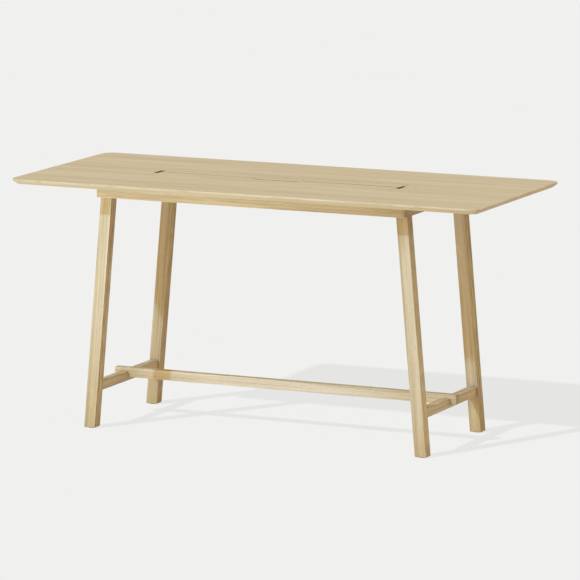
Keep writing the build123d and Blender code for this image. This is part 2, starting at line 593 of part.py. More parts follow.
# ---------------------------------------------------------------- low rails and stretcher
for end_name, end in ENDS.items():
    with BuildPart() as rail:
        with BuildSketch(Plane.XY.offset(RAIL_BOTTOM)):
            with Locations((end * RAIL_X, 0)):
                Rectangle(RAIL_WIDTH, 2 * LEG_INNER_Y)
        extrude(amount=RAIL_HEIGHT)
        round_long_edges(rail, Axis.Y, WOOD_ARRIS)
        # The tenons that enter the legs.
        with BuildSketch(Plane.XY.offset(RAIL_BOTTOM + (RAIL_HEIGHT - TENON_HEIGHT) / 2)):
            with Locations((end * RAIL_X, 0)):
                Rectangle(TENON_WIDTH, 2 * (LEG_INNER_Y + TENON_LENGTH))
        extrude(amount=TENON_HEIGHT)
        # The housing that the stretcher drops into.
        with BuildSketch(Plane.XY.offset(RAIL_TOP)):
            with Locations((end * RAIL_X, 0)):
                Rectangle(RAIL_WIDTH, RAIL_WIDTH + FIT)
        extrude(amount=LAP_LEVEL - RAIL_TOP, mode=Mode.SUBTRACT)
        drill(stretcher_screw_planes[end_name], STRETCHER_SCREW_RADIUS + FIT, RAIL_HEIGHT)
        countersink(stretcher_screw_planes[end_name], STRETCHER_SCREW_HEAD + FIT,
                    STRETCHER_SCREW_RADIUS + FIT)
    save(rail, f"{end_name}_cross_rail")

with BuildPart() as stretcher:
    with BuildSketch(Plane.XY.offset(STRETCHER_BOTTOM)):
        Rectangle(STRETCHER_LENGTH, RAIL_WIDTH)
    extrude(amount=RAIL_HEIGHT)
    round_long_edges(stretcher, Axis.X, WOOD_ARRIS)
    with BuildSketch(Plane.XY.offset(STRETCHER_BOTTOM)):
        with Locations(*[(end * RAIL_X, 0) for end in ENDS.values()]):
            Rectangle(RAIL_WIDTH + FIT, RAIL_WIDTH)
    extrude(amount=LAP_LEVEL - STRETCHER_BOTTOM, mode=Mode.SUBTRACT)
    for planes in stretcher_screw_planes.values():
        drill(planes, STRETCHER_SCREW_RADIUS + FIT, STRETCHER_SCREW_LENGTH + 1)
save(stretcher, "long_stretcher")

stretcher_screws = flush_screws([plane for planes in stretcher_screw_planes.values() for plane in planes],
                                STRETCHER_SCREW_HEAD, STRETCHER_SCREW_RADIUS, STRETCHER_SCREW_LENGTH)
save(stretcher_screws, "stretcher_screws")
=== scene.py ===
import json
import math

import bpy
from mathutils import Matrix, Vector


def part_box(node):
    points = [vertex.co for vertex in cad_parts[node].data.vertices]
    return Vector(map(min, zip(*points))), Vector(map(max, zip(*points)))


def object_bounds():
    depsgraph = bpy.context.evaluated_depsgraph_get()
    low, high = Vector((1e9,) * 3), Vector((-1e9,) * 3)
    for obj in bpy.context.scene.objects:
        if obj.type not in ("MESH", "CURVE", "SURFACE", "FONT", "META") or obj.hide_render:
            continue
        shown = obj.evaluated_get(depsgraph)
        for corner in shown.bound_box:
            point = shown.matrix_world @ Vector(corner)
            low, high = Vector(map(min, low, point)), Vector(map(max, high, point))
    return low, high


# The looks of the bar-height oak table: one material for each piece of wood, with its grain
# along the piece, then metals, floor, light and camera. Lengths are in metres.

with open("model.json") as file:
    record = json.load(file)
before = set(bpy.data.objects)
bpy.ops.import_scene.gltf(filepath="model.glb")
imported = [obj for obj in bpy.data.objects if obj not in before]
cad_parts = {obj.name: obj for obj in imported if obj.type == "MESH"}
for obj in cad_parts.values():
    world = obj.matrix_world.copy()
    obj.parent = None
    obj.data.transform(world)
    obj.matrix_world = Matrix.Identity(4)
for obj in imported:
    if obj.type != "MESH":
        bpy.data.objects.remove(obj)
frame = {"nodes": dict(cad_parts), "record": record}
nodes = frame["nodes"]
cad_low, cad_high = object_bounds()

ALONG_X = Vector((1, 0, 0))
ALONG_Y = Vector((0, 1, 0))
ALONG_Z = Vector((0, 0, 1))
SIDES = ("front", "back")
ENDS = ("left", "right")

# A Mix node has sockets for each kind of value; these are the ones for colours.
MIX_COLOUR_INPUTS = (6, 7)
MIX_COLOUR_OUTPUT = 2


# ---------------------------------------------------------------- building node trees
class Tree:
    """One material's node tree, built with short calls."""

    def __init__(self, name):
        self.material = bpy.data.materials.new(name)
        self.material.use_nodes = True
        self.nodes = self.material.node_tree.nodes
        self.links = self.material.node_tree.links
        self.nodes.clear()
        self.shader = self.nodes.new("ShaderNodeBsdfPrincipled")
        self.output = self.nodes.new("ShaderNodeOutputMaterial")
        self.links.new(self.shader.outputs["BSDF"], self.output.inputs["Surface"])

    def put(self, socket, value):
        """Link an output to a socket, or set the socket to a value."""
        if isinstance(value, bpy.types.NodeSocket):
            self.links.new(value, socket)
        else:
            socket.default_value = value

    def math(self, operation, first, second=0.0):
        node = self.nodes.new("ShaderNodeMath")
        node.operation = operation
        self.put(node.inputs[0], first)
        self.put(node.inputs[1], second)
        return node.outputs[0]

    def hypot(self, first, second):
        """The length of a step made of two steps at right angles."""
        first_squared = self.math("MULTIPLY", first, first)
        second_squared = self.math("MULTIPLY", second, second)
        return self.math("SQRT", self.math("ADD", first_squared, second_squared))

    def total(self, start, *parts):
        """A start value plus each part times its weight."""
        for value, weight in parts:
            start = self.math("ADD", start, self.math("MULTIPLY", value, weight))
        return start

    def dot(self, first, second):
        node = self.nodes.new("ShaderNodeVectorMath")
        node.operation = "DOT_PRODUCT"
        self.put(node.inputs[0], first)
        self.put(node.inputs[1], second)
        return node.outputs["Value"]

    def combine(self, x, y, z):
        node = self.nodes.new("ShaderNodeCombineXYZ")
        for socket, value in zip(node.inputs, (x, y, z)):
            self.put(socket, value)
        return node.outputs[0]

    def place(self):
        """The point being shaded, in the piece's own frame, which is the table's at rest."""
        return self.nodes.new("ShaderNodeTexCoord").outputs["Object"]

    def normal(self):
        return self.nodes.new("ShaderNodeTexCoord").outputs["Normal"]

    def noise(self, vector, scale, detail=3.0, roughness=0.5):
        node = self.nodes.new("ShaderNodeTexNoise")
        self.put(node.inputs["Vector"], vector)
        self.put(node.inputs["Scale"], scale)
        self.put(node.inputs["Detail"], detail)
        self.put(node.inputs["Roughness"], roughness)
        return node.outputs[0]

    def cells(self, vector, scale):
        """Distance to the nearest of many scattered points."""
        node = self.nodes.new("ShaderNodeTexVoronoi")
        self.put(node.inputs["Vector"], vector)
        self.put(node.inputs["Scale"], scale)
        return node.outputs["Distance"]

    def span(self, value, low, high, to_low=0.0, to_high=1.0, smooth=False):
        """Map a range of values onto another, held at its ends."""
        node = self.nodes.new("ShaderNodeMapRange")
        node.interpolation_type = "SMOOTHSTEP" if smooth else "LINEAR"
        for socket, item in zip(node.inputs, (value, low, high, to_low, to_high)):
            self.put(socket, item)
        return node.outputs[0]

    def ramp(self, value, stops, interpolation="LINEAR"):
        node = self.nodes.new("ShaderNodeValToRGB")
        ramp = node.color_ramp
        ramp.interpolation = interpolation
        while len(ramp.elements) < len(stops):
            ramp.elements.new(0.5)
        for element, (position, colour) in zip(ramp.elements, stops):
            element.position = position
            element.color = (*colour, 1.0)
        self.put(node.inputs[0], value)
        return node.outputs[0]

    def mix(self, factor, first, second, kind="MIX"):
        node = self.nodes.new("ShaderNodeMix")
        node.data_type = "RGBA"
        node.blend_type = kind
        self.put(node.inputs[0], factor)
        for number, value in zip(MIX_COLOUR_INPUTS, (first, second)):
            self.put(node.inputs[number], (*value, 1.0) if isinstance(value, tuple) else value)
        return node.outputs[MIX_COLOUR_OUTPUT]

    def stain(self, colour, tint, amount=1.0):
        """Multiply a colour by a tint, as far as the amount says."""
        return self.mix(amount, colour, tint, "MULTIPLY")

    def scale(self, colour, factor):
        """Multiply a colour by a number."""
        node = self.nodes.new("ShaderNodeVectorMath")
        node.operation = "SCALE"
        self.put(node.inputs[0], colour)
        self.put(node.inputs["Scale"], factor)
        return node.outputs[0]

    def bump(self, height, distance):
        """Raise the surface by a pattern, at most by the distance."""
        node = self.nodes.new("ShaderNodeBump")
        self.put(node.inputs["Height"], height)
        self.put(node.inputs["Distance"], distance)
        self.links.new(node.outputs[0], self.shader.inputs["Normal"])

    def set(self, **values):
        """Fill the shader's sockets: base_color sets Base Color, and so on."""
        for name, value in values.items():
            socket = self.shader.inputs[name.replace("_", " ").title().replace("Ior", "IOR")]
            self.put(socket, (*value, 1.0) if isinstance(value, tuple) else value)


def cover(names, material):
    """Give each named CAD piece one material."""
    for name in names:
        for slot in nodes[name].material_slots:
            slot.link = "OBJECT"
            slot.material = material


# ---------------------------------------------------------------- wood
OAK_LIGHT = (0.56, 0.415, 0.242)
OAK_MID = (0.497, 0.353, 0.191)
OAK_DARK = (0.357, 0.234, 0.115)
# Paler oak for the arrises: rubbed wear together with a painted edge highlight.
OAK_WORN_AND_HIGHLIT = (0.86, 0.72, 0.52)
OIL_GLOSS = 0.30
OIL_INDEX = 1.48

# Where the figure turns light, middling and dark: soft on the tabletop, stronger on the boards.
TOP_CONTRAST = (0.38, 0.60, 0.86)
BOARD_CONTRAST = (0.47, 0.59, 0.71)

# Growth rings, and how far the pith wanders and ripples to each side of the grain.
RING_SPACING = 0.0042
EARLY_WOOD_SHARE = 0.32
PITH_DEPTH = 0.12
PITH_WANDER = 0.055
PITH_RIPPLE = 0.006

# Each board or stave is cut from its own part of the log, this far apart for each step.
BOARD_SHIFT = 3.7
STAVE_SHIFT = 173.0

# How squarely a face looks along the grain to be end grain, or across it to be a board's side;
# and how far the top's bevel looks down and outward.
FACING_END = (0.75, 0.95)
FACING_SIDE = (0.6, 0.9)
BEVEL_DOWN = (0.4, 0.7)
BEVEL_OUTWARD = (0.3, 0.5)

# Noise from the first value to the second fades in a pore, a side's blotch or a pale patch on an arris,
# which is wear and painted highlight.
PORE_NOISE = (0.60, 0.68)
BLOTCH_NOISE = (0.35, 0.65)
PATCH_NOISE = (0.3, 0.7)

# Tints that multiply the oak's colour. The pores' and the ends' are the wood's own; the top's end and
# bevel tints are painted light, and the crevice tint is painted shade.
PORE_TINT = (0.62, 0.62, 0.62)
END_TINT = (0.86, 0.86, 0.86)
TOP_END_PAINTED_LIGHT = (1.15, 1.22, 1.35)
BEVEL_LEFT_PAINTED_LIGHT = (1.30, 1.50, 1.86)
BEVEL_RIGHT_PAINTED_LIGHT = (1.07, 1.14, 1.23)
CREVICE_SHADE_TINT = (0.22, 0.15, 0.08)
HATCH_BAND_TINT = (0.50, 0.44, 0.36)

# An arris is paled over this distance from the corner, where the noise allows it: rubbed wear with a
# painted edge highlight.
ARRIS_PALE_START = 0.0005
ARRIS_PALE_END = 0.0035
ARRIS_PALE_AMOUNT = 0.5

# How much open sky a point in a joint sees where it is darkest, and where the shade ends.
CREVICE_DARKEST = 0.12
CREVICE_CLEAR = 0.58
CREVICE_REACH = 0.018
CREVICE_SAMPLES = 8

# The darker band round the hatch's joints: full up to its start and gone at its end. A distance
# from the block's edge counts for less, so the band is wider there. Other joints on the top
# have only a share of the crevice's painted shade.
HATCH_BAND_START = 0.0015
HATCH_BAND_END = 0.006
BLOCK_BAND_SHARE = 0.55
OTHER_JOINT_SHADE_SHARE = 0.35

# The rounded outline of the two cable slots.
SLOT_WIDTH = 0.016
SLOT_LENGTH = 0.072
SLOT_ROUND = 0.006

# The glued staves of the tabletop: where each one ends across the width, and its tone.
STAVES = ((-0.345, 0.975), (-0.270, 0.955), (-0.215, 1.035), (-0.130, 1.005),
          (-0.050, 0.975), (0.052, 0.990), (0.135, 0.965), (0.205, 1.010),
          (0.275, 1.000), (0.352, 0.965), (0.450, 0.975))

# Each board's tint next to the tabletop's, at the given shares of its length, from its left or front
# end or its foot. Partly the board's own tone, and largely painted light and shade: paler where a
# board is lit, darker where it lies in shade, and darker towards the legs' feet.
PLAIN = ((0.0, (1.0, 1.0, 1.0)),)
BOARD_TINTS_AND_LIGHT = {
    "front_apron": ((0.0, (1.24, 1.38, 1.68)), (0.3, (1.22, 1.36, 1.62)), (1.0, (0.92, 0.92, 0.95))),
    "right_bearer": ((0.0, (0.82, 0.78, 0.60)),),
    "left_cross_rail": ((0.0, (1.01, 1.08, 1.15)),),
    "right_cross_rail": ((0.0, (1.03, 1.14, 1.27)),),
    "long_stretcher": ((0.0, (1.12, 1.08, 0.96)), (0.12, (0.97, 0.95, 0.96)), (0.3, (1.08, 1.15, 1.33)),
                       (0.55, (1.09, 1.16, 1.36)), (0.65, (1.03, 1.08, 1.25)), (0.9, (0.92, 0.92, 0.92)),
                       (0.96, (1.00, 1.00, 0.95))),
    "front_left_leg": ((0.0, (0.79, 0.75, 0.63)), (0.3, (0.95, 0.96, 0.97)), (0.8, (1.10, 1.17, 1.29)),
                       (0.9, (1.17, 1.25, 1.37)), (0.97, (1.11, 1.18, 1.28))),
    "front_right_leg": ((0.0, (0.81, 0.75, 0.65)), (0.3, (0.97, 0.99, 1.06)), (0.85, (0.98, 1.01, 1.08)),
                        (0.95, (0.87, 0.83, 0.79))),
    "back_left_leg": ((0.0, (0.87, 0.80, 0.63)), (0.15, (0.90, 0.86, 0.75)), (0.35, (0.93, 0.90, 0.82)),
                      (0.5, (0.87, 0.85, 0.80))),
    "back_right_leg": ((0.0, (0.85, 0.74, 0.58)), (0.06, (0.89, 0.84, 0.70)), (0.2, (0.91, 0.88, 0.83)),
                       (0.5, (0.84, 0.82, 0.83))),
}

# The sides of a board, cut the other way through its rings, have blotches of their own. Their
# tints are partly tone and partly painted shade, mostly darker, for the sides that lie in shade.
SIDE_TINTS_AND_SHADE = {
    "left_cross_rail": ((0.0, (1.20, 1.18, 1.10)),),
    "right_cross_rail": ((0.0, (1.21, 1.20, 1.18)),),
    "long_stretcher": ((0.0, (1.05, 1.05, 1.00)), (0.3, (1.08, 1.09, 1.10)), (0.9, (0.95, 0.95, 0.90))),
    "front_left_leg": ((0.0, (0.72, 0.64, 0.50)), (0.1, (0.87, 0.85, 0.75)), (0.7, (0.97, 0.98, 0.95)),
                       (0.8, (0.87, 0.78, 0.66)), (1.0, (0.89, 0.82, 0.72))),
    "front_right_leg": ((0.0, (0.88, 0.90, 0.85)), (0.1, (0.97, 1.00, 1.00)), (0.4, (1.02, 1.12, 1.20)),
                        (0.6, (0.94, 0.97, 1.00)), (0.9, (0.90, 0.96, 0.96)), (0.97, (0.75, 0.70, 0.50))),
    "back_left_leg": ((0.0, (0.65, 0.60, 0.48)), (0.06, (0.78, 0.74, 0.62)), (0.5, (0.83, 0.78, 0.61)),
                      (0.7, (0.96, 0.91, 0.74)), (0.9, (0.90, 0.90, 0.68))),
    "back_right_leg": ((0.0, (0.68, 0.64, 0.51)), (0.06, (0.74, 0.72, 0.62)), (0.25, (0.85, 0.87, 0.77)),
                       (0.5, (0.94, 0.97, 0.87)), (0.9, (0.86, 0.85, 0.71))),
}
SIDE_BLOTCH = 0.30

# The seed of the first board of each kind; its neighbours count on from it.
APRON_SEED = 11
LEG_SEED = 21
BEARER_SEED = 31
RAIL_SEED = 41
STRETCHER_SEED = 51


def stave_tone(tree, across, half_width):
    """The tone of the stave that the point lies in, constant over each stave."""
    stops = []
    start = 0.0
    for end, tone in STAVES:
        stops.append((start, (tone, tone, tone)))
        start = (end + half_width) / (2 * half_width)
    share = tree.span(across, -half_width, half_width)
    return tree.ramp(share, stops, "CONSTANT")


def board_tint_and_light(tree, node, share, facing_across, blotch):
    """The tint of a single board, along its length and on its sides: its own tone with painted light and
    shade.
    """
    front = tree.ramp(share, BOARD_TINTS_AND_LIGHT.get(node, PLAIN))
    if node not in SIDE_TINTS_AND_SHADE:
        return front
    strength = tree.span(blotch, *BLOTCH_NOISE, 1 - SIDE_BLOTCH / 2, 1 + SIDE_BLOTCH / 2)
    side = tree.scale(tree.ramp(share, SIDE_TINTS_AND_SHADE[node]), strength)
    return tree.mix(tree.span(facing_across, *FACING_SIDE), front, side)


def drawn_noise(tree, point, draw, **settings):
    """A noise drawn out along the grain, which is the point's first measure."""
    run, side, deep = point
    return tree.noise(tree.combine(tree.math("MULTIPLY", run, draw), side, deep), **settings)


def early_wood(tree, run, side, deep, shift):
    """How far the point is into a ring's porous early wood; the rings lie about a wandering pith."""
    wander_place = tree.combine(tree.math("MULTIPLY", run, 0.55), side, shift)
    wander = tree.noise(wander_place, scale=2.3, detail=2.0)
    ripple_place = tree.combine(tree.math("MULTIPLY", run, 2.2), tree.math("MULTIPLY", side, 9.0), shift)
    ripple = tree.noise(ripple_place, scale=2.0, detail=2.0)
    aside = tree.math("SINE", shift)
    pith_side = tree.total(side, (wander, PITH_WANDER), (ripple, PITH_RIPPLE), (aside, 1.0))
    pith_deep = tree.math("ADD", deep, PITH_DEPTH)
    phase = tree.math("FRACT", tree.math("DIVIDE", tree.hypot(pith_side, pith_deep), RING_SPACING))
    return tree.span(tree.math("PINGPONG", phase, 0.5), 0.0, EARLY_WOOD_SHARE, 1.0, 0.0, smooth=True)


def wear_and_highlight_arrises(tree, colour, run, side, deep, half_side, half_deep):
    """Pale the long corners of a board a little, in places: rubbed wear and a painted edge highlight."""
    gap_side = tree.math("SUBTRACT", half_side, tree.math("ABSOLUTE", side))
    gap_deep = tree.math("SUBTRACT", half_deep, tree.math("ABSOLUTE", deep))
    near = tree.span(tree.hypot(gap_side, gap_deep), ARRIS_PALE_START, ARRIS_PALE_END, 1.0, 0.0)
    patches = tree.span(drawn_noise(tree, (run, side, deep), draw=0.3, scale=60.0), *PATCH_NOISE)
    amount = tree.math("MULTIPLY", tree.math("MULTIPLY", near, patches), ARRIS_PALE_AMOUNT)
    return tree.mix(amount, colour, tree.mix(0.5, colour, OAK_WORN_AND_HIGHLIT))


def paint_bevel_light(tree, colour, share, facing_across):
    """Painted light: pale the bevel under the top's long edges, more so towards the left."""
    facing_down = tree.dot(tree.normal(), -ALONG_Z)
    down = tree.span(facing_down, *BEVEL_DOWN)
    outward = tree.span(facing_across, *BEVEL_OUTWARD)
    tint = tree.mix(share, BEVEL_LEFT_PAINTED_LIGHT, BEVEL_RIGHT_PAINTED_LIGHT)
    return tree.stain(colour, tint, tree.math("MULTIPLY", down, outward))


def to_hatch_joint(tree, place):
    """Distance from the hatch's joints that get a darker band and full painted shade.

    They are the middle seam between the flaps, the front edge of the block and the two slots.
    Beyond the ends of the seam and of the block's edge, a metre is added to the distance.
    """
    flap_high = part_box("front_flap")[1]
    block_low, block_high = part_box("centre_block")
    middle = (block_low.x + block_high.x) / 2
    x = tree.math("ABSOLUTE", tree.math("SUBTRACT", tree.dot(place, ALONG_X), middle))
    y = tree.dot(place, ALONG_Y)
    from_seam = tree.math("ABSOLUTE", y)
    past_block = tree.math("SUBTRACT", x, block_high.x - middle)
    past_flap = tree.math("SUBTRACT", x, flap_high.x - middle)
    beside_block = tree.math("LESS_THAN", past_block, 0.0)
    off_seam = tree.math("ADD", beside_block, tree.math("GREATER_THAN", past_flap, 0.0))
    to_seam = tree.math("ADD", from_seam, off_seam)
    from_front = tree.math("ABSOLUTE", tree.math("SUBTRACT", y, block_low.y))
    off_block = tree.math("GREATER_THAN", past_block, 0.0)
    to_front = tree.total(off_block, (from_front, BLOCK_BAND_SHARE))
    from_slot_middle = tree.math("ABSOLUTE", tree.math("SUBTRACT", past_flap, SLOT_WIDTH / 2))
    past_side = tree.math("SUBTRACT", from_slot_middle, SLOT_WIDTH / 2 - SLOT_ROUND)
    past_tip = tree.math("SUBTRACT", from_seam, SLOT_LENGTH / 2 - SLOT_ROUND)
    from_corner = tree.hypot(tree.math("MAXIMUM", past_side, 0.0), tree.math("MAXIMUM", past_tip, 0.0))
    to_slot = tree.math("SUBTRACT", from_corner, SLOT_ROUND)
    return tree.math("MINIMUM", to_slot, tree.math("MINIMUM", to_seam, to_front))


def crevice(tree):
    """Painted shade: how shut in the point is by what is near it, as in a joint, a slot or a corner."""
    node = tree.nodes.new("ShaderNodeAmbientOcclusion")
    node.samples = CREVICE_SAMPLES
    node.inputs["Distance"].default_value = CREVICE_REACH
    return tree.span(node.outputs["AO"], CREVICE_DARKEST, CREVICE_CLEAR, 1.0, 0.0)


def oak(name, node, along, across, seed=0, staves=False):
    """Light oiled oak, sawn along one direction of a CAD piece.

    The figure is a solid one: growth rings about a pith under the face, drawn out along the
    grain, with fine fibres and open pores, so faces, edges and ends all agree.
    """
    low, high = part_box(node)
    centre = (low + high) / 2
    axes = (along, across, along.cross(across).normalized())
    half_run, half_side, half_deep = (abs(axis.dot(high - centre)) for axis in axes)
    tree = Tree(name)
    place = tree.place()
    run, side, deep = (tree.math("SUBTRACT", tree.dot(place, axis), axis.dot(centre)) for axis in axes)
    share = tree.span(run, -half_run, half_run)
    facing_end, facing_across = (tree.math("ABSOLUTE", tree.dot(tree.normal(), axis))
                                 for axis in (along, across))

    # Staves and boards are cut from different places in the log.
    if staves:
        tone = stave_tone(tree, side, half_side)
        shift = tree.math("MULTIPLY", tone, STAVE_SHIFT)
        point = (run, side, tree.math("ADD", deep, shift))
    else:
        shift = seed * BOARD_SHIFT
        point = (run, side, tree.math("ADD", deep, shift))
        blotch = drawn_noise(tree, point, draw=0.35, scale=45.0, detail=3.0, roughness=0.6)
        # The board's tint carries painted light and shade along with its own tone.
        tone = board_tint_and_light(tree, node, share, facing_across, blotch)

    # Streaks a few millimetres wide, fibres, and pores, all drawn out along the grain.
    early = early_wood(tree, run, side, deep, shift)
    streaks = drawn_noise(tree, point, draw=0.018, scale=105.0, detail=3.0, roughness=0.62)
    bands = drawn_noise(tree, point, draw=0.03, scale=24.0, detail=2.0)
    fibre = drawn_noise(tree, point, draw=0.012, scale=900.0, detail=2.0, roughness=0.6)
    pores = tree.span(drawn_noise(tree, point, draw=0.045, scale=1700.0, detail=1.0), *PORE_NOISE)
    open_pores = tree.math("MULTIPLY", pores, tree.total(0.25, (early, 0.75)))

    figure = tree.total(0.0, (streaks, 0.62), (bands, 0.30), (fibre, 0.16), (early, 0.13))
    stops = TOP_CONTRAST if staves else BOARD_CONTRAST
    colour = tree.ramp(figure, tuple(zip(stops, (OAK_LIGHT, OAK_MID, OAK_DARK))))
    colour = tree.stain(colour, tone)
    colour = tree.stain(colour, PORE_TINT, open_pores)

    # End grain drinks more oil and is darker; the top's ends get painted light instead, which makes them
    # paler.
    end = tree.span(facing_end, *FACING_END, smooth=True)
    colour = tree.stain(colour, TOP_END_PAINTED_LIGHT if staves else END_TINT, end)
    colour = wear_and_highlight_arrises(tree, colour, run, side, deep, half_side, half_deep)

    # Joints, slots and corners get painted shade; on the top it is full only near the hatch's middle
    # seam, block front and slots, which also get a darker band.
    shade = crevice(tree)
    if staves:
        colour = paint_bevel_light(tree, colour, share, facing_across)
        to_joint = to_hatch_joint(tree, place)
        colour = tree.stain(colour, HATCH_BAND_TINT, tree.span(to_joint, HATCH_BAND_START, HATCH_BAND_END, 1.0, 0.0))
        full_shade_share = tree.span(to_joint, HATCH_BAND_END, 2 * HATCH_BAND_END, 1.0, OTHER_JOINT_SHADE_SHARE)
        shade = tree.math("MULTIPLY", shade, full_shade_share)
    colour = tree.stain(colour, CREVICE_SHADE_TINT, shade)

    roughness = tree.total(0.48, (streaks, 0.16), (open_pores, 0.18), (end, 0.12))
    tree.bump(tree.total(0.0, (fibre, 0.35), (open_pores, -1.0), (early, -0.25)), distance=0.00012)
    tree.set(base_color=colour, roughness=roughness, ior=OIL_INDEX, specular_ior_level=OIL_GLOSS)
    return tree.material


def leg_direction(node):
    """The way a leg leans, from its foot to its top."""
    low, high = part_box(node)
    size = high.y - low.y
    lean = (high.x - low.x - size) / (high.z - low.z)
    outward = math.copysign(1.0, low.x + high.x)
    return Vector((-outward * lean, 0, 1)).normalized()


def paint_wood():
    """The top, its flaps and its block are one glued board; the frame is one board a piece."""
    top = oak("oak_top", "tabletop", ALONG_X, ALONG_Y, staves=True)
    cover(["tabletop", "front_flap", "back_flap", "centre_block"], top)
    for number, side in enumerate(SIDES):
        name = f"{side}_apron"
        cover([name], oak(name, name, ALONG_X, ALONG_Z, APRON_SEED + number))
        for step, end in enumerate(ENDS):
            name = f"{side}_{end}_leg"
            direction = leg_direction(name)
            across = direction.cross(ALONG_Y)
            cover([name], oak(name, name, direction, across, LEG_SEED + 2 * number + step))
    for number, end in enumerate(ENDS):
        name = f"{end}_bearer"
        cover([name], oak(name, name, ALONG_Y, ALONG_X, BEARER_SEED + number))
        name = f"{end}_cross_rail"
        cover([name], oak(name, name, ALONG_Y, ALONG_Z, RAIL_SEED + number))
    name = "long_stretcher"
    cover([name], oak(name, name, ALONG_X, ALONG_Z, STRETCHER_SEED))


BEECH_LIGHT = (0.70, 0.50, 0.33)
BEECH_DARK = (0.60, 0.41, 0.26)
BEECH_FLECK = (0.38, 0.22, 0.12)


def beech():
    """Raw beech dowel: pinkish, with short dark ray flecks."""
    tree = Tree("beech")
    place = tree.place()
    flecks = tree.span(tree.noise(place, scale=900.0, detail=2.0), 0.58, 0.68)
    tone = tree.noise(place, scale=60.0)
    colour = tree.ramp(tone, ((0.3, BEECH_LIGHT), (0.7, BEECH_DARK)))
    colour = tree.mix(tree.math("MULTIPLY", flecks, 0.5), colour, BEECH_FLECK)
    tree.bump(flecks, distance=0.00005)
    tree.set(base_color=colour, roughness=0.6)
    return tree.material


# ---------------------------------------------------------------- metals and plastic
# Each metal's light and dark colour.
BRASS = ((0.72, 0.54, 0.26), (0.55, 0.38, 0.17))
ZINC = ((0.66, 0.68, 0.70), (0.50, 0.52, 0.55))
TURNED_STEEL = ((0.60, 0.59, 0.58), (0.42, 0.41, 0.40))

COAT_DARK = (0.024, 0.018, 0.013)
COAT_LIGHT = (0.050, 0.039, 0.029)
NYLON_DARK = (0.23, 0.16, 0.10)
NYLON_LIGHT = (0.33, 0.25, 0.18)
NYLON_INDEX = 1.53


def brushed_metal(name, colours, rough, lines):
    """A metal with fine marks of its making, a slow mottle and a dulled film."""
    light, dark = colours
    tree = Tree(name)
    place = tree.place()
    x, y, z = (tree.dot(place, axis) for axis in (ALONG_X, ALONG_Y, ALONG_Z))
    drawn_place = tree.combine(tree.math("MULTIPLY", x, 0.3), tree.math("MULTIPLY", y, 0.06), z)
    marks = tree.noise(drawn_place, scale=lines)
    mottle = tree.noise(place, scale=140.0, detail=4.0, roughness=0.6)
    spots = tree.span(tree.noise(place, scale=700.0, detail=2.0), 0.62, 0.72)
    colour = tree.ramp(mottle, ((0.32, dark), (0.62, light)))
    colour = tree.mix(tree.math("MULTIPLY", spots, 0.35), colour, dark)
    tree.bump(marks, distance=0.00003)
    tree.set(base_color=colour, roughness=tree.total(rough, (marks, 0.16), (spots, 0.15)), metallic=1.0)
    return tree.material


def powder_coat():
    """Black powder coat with its fine orange peel."""
    tree = Tree("powder_coat")
    place = tree.place()
    peel = tree.cells(place, scale=900.0)
    dust = tree.noise(place, scale=35.0)
    colour = tree.ramp(dust, ((0.35, COAT_DARK), (0.70, COAT_LIGHT)))
    tree.bump(peel, distance=0.00010)
    tree.set(base_color=colour, roughness=tree.total(0.42, (dust, 0.2)))
    return tree.material


def nylon():
    """Brown moulded nylon, scuffed where it slides on the floor."""
    tree = Tree("nylon")
    place = tree.place()
    grain = tree.noise(place, scale=1200.0, detail=2.0)
    scuff = tree.span(tree.noise(place, scale=220.0, detail=4.0, roughness=0.7), 0.45, 0.65)
    colour = tree.mix(scuff, NYLON_DARK, NYLON_LIGHT)
    tree.bump(grain, distance=0.00006)
    tree.set(base_color=colour, roughness=tree.total(0.45, (scuff, 0.25)), ior=NYLON_INDEX)
    return tree.material


def paint_fittings():
    """Each fitting has the material that the record's slot names."""
    by_slot = {
        "beech_dowel": beech(),
        "black_steel": powder_coat(),
        "zinc_steel": brushed_metal("zinc", ZINC, rough=0.26, lines=800.0),
        "hinge_brass": brushed_metal("brass", BRASS, rough=0.24, lines=1500.0),
        "hinge_steel": brushed_metal("turned_steel", TURNED_STEEL, rough=0.22, lines=2200.0),
        "glide": nylon(),
    }
    for part in frame["record"]["subparts"]:
        if part["material_slot"] in by_slot:
            cover([part["node"]], by_slot[part["material_slot"]])


# ---------------------------------------------------------------- floor, light and camera
FLOOR_HALF_SIZE = 300.0
FLOOR_GAP = 0.0004
FLOOR_GLOW = 0.780
FLOOR_CLOUDING = 0.012
FLOOR_GLOW_COLOUR = (1.0, 1.0, 0.985)
FLOOR_COLOUR = (0.004, 0.004, 0.004)

SUN_TRAVEL = Vector((0.53, 0.97, -1.0))
SUN_SPREAD = math.radians(1.5)
SUN_STRENGTH = 2.0
SUN_COLOUR = (0.47, 0.96, 1.81)

SKY_TRAVEL = Vector((0.0, 0.1, -1.0))
SKY_SPREAD = math.radians(20.0)
SKY_STRENGTH = 1.3
SKY_COLOUR = (0.63, 0.95, 1.52)

FRONT_PLACE = Vector((-1.0, -5.0, 0.6))
FRONT_SIZE = 2.0
FRONT_STRENGTH = 125.0
FRONT_COLOUR = (1.0, 1.11, 0.94)

# The floor is almost pure glow, so the sun that draws the shadow on it has to be strong.
FLOOR_SUN_STRENGTH = 103.0
FLOOR_SUN_COLOUR = (1.0, 1.0, 1.0)

FILL_STRENGTH = 0.6
FILL_COLOUR = (1.25, 1.0, 0.5)
BACKDROP_COLOUR = (0.86, 0.86, 0.86)

CAMERA_AIM = Vector((0.017, 0.019, 0.587))
CAMERA_DISTANCE = 19.67
CAMERA_AZIMUTH = math.radians(24.72)
CAMERA_ELEVATION = math.radians(9.49)
CAMERA_LENS = 294.3


